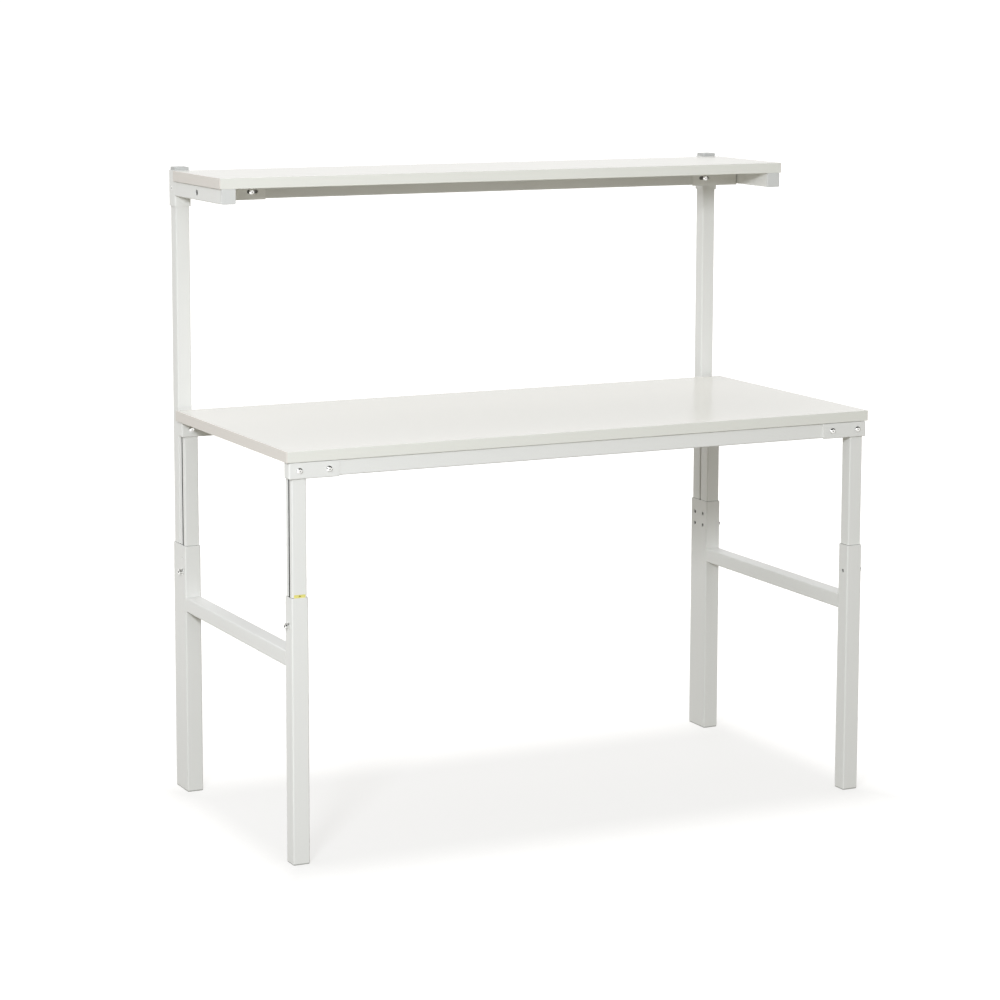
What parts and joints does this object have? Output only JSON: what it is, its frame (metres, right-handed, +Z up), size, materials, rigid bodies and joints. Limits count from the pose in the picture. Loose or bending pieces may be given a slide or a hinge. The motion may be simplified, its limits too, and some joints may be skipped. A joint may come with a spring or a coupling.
{
  "type": "height-adjustable workbench with upper shelf",
  "caption": "Workbench with a laminated top on telescopic steel legs, side frames on plastic feet, and rear posts that carry a sliding upper shelf.",
  "frame": {"origin": "on the floor, at the middle of the overall box's underside", "axes": "+X to the right along the worktop, seen from the front; +Y to the rear, towards the posts; +Z up"},
  "size_m": [1.5, 0.7628, 1.508],
  "materials": {
    "laminated_board": "satin laminate on chipboard",
    "edge_band": "satin plastic edge",
    "painted_steel": "satin powder coat",
    "zinc_plated_steel": "bright zinc plate",
    "foot_plastic": "matt moulded",
    "post_cap_plastic": "matt moulded",
    "arm_cap_plastic": "matt moulded",
    "slide_plastic": "matt moulded"
  },
  "bodies": {
    "stand": {"clamp_bolts": "zinc_plated_steel", "clamp_plates": "zinc_plated_steel", "clamp_washers": "zinc_plated_steel", "foot_cap_front_left": "foot_plastic", "foot_cap_front_right": "foot_plastic", "foot_cap_rear_left": "foot_plastic", "foot_cap_rear_right": "foot_plastic", "front_outer_tube_left": "painted_steel", "front_outer_tube_right": "painted_steel", "leg_guide_left": "slide_plastic", "leg_guide_right": "slide_plastic", "post_bolts": "zinc_plated_steel", "post_cap_left": "post_cap_plastic", "post_cap_right": "post_cap_plastic", "post_nuts": "zinc_plated_steel", "post_washers": "zinc_plated_steel", "rear_outer_tube_left": "painted_steel", "rear_outer_tube_right": "painted_steel", "side_rail_left": "painted_steel", "side_rail_right": "painted_steel", "upright_post_left": "painted_steel", "upright_post_right": "painted_steel"},
    "table": {"bracket_nuts": "zinc_plated_steel", "bracket_screws": "zinc_plated_steel", "corner_bracket_front_left": "painted_steel", "corner_bracket_front_right": "painted_steel", "corner_bracket_rear_left": "painted_steel", "corner_bracket_rear_right": "painted_steel", "front_beam": "painted_steel", "inner_leg_front_left": "painted_steel", "inner_leg_front_right": "painted_steel", "inner_leg_rear_left": "painted_steel", "inner_leg_rear_right": "painted_steel", "leg_glides": "slide_plastic", "rear_beam": "painted_steel", "worktop_board": "laminated_board", "worktop_edge_bands": "edge_band", "worktop_screws": "zinc_plated_steel"},
    "shelf": {"arm_cap_left": "arm_cap_plastic", "arm_cap_right": "arm_cap_plastic", "shelf_arm_bolts": "zinc_plated_steel", "shelf_arm_left": "painted_steel", "shelf_arm_right": "painted_steel", "shelf_beam": "painted_steel", "shelf_board": "laminated_board", "shelf_bracket_left": "painted_steel", "shelf_bracket_right": "painted_steel", "shelf_bracket_screws": "zinc_plated_steel", "shelf_edge_bands": "edge_band", "shelf_grub_screws": "zinc_plated_steel", "shelf_nuts": "zinc_plated_steel", "shelf_screws": "zinc_plated_steel", "shelf_sleeve_left": "painted_steel", "shelf_sleeve_right": "painted_steel", "shelf_washers": "zinc_plated_steel"}
  },
  "joints": [
    {"name": "table_slide", "type": "slide", "parent": "stand", "child": "table", "axis": [0, 0, 1], "range_m": [-0.25, 0]},
    {"name": "shelf_slide", "type": "slide", "parent": "stand", "child": "shelf", "axis": [0, 0, 1], "range_m": [-0.45, 0]}
  ]
}
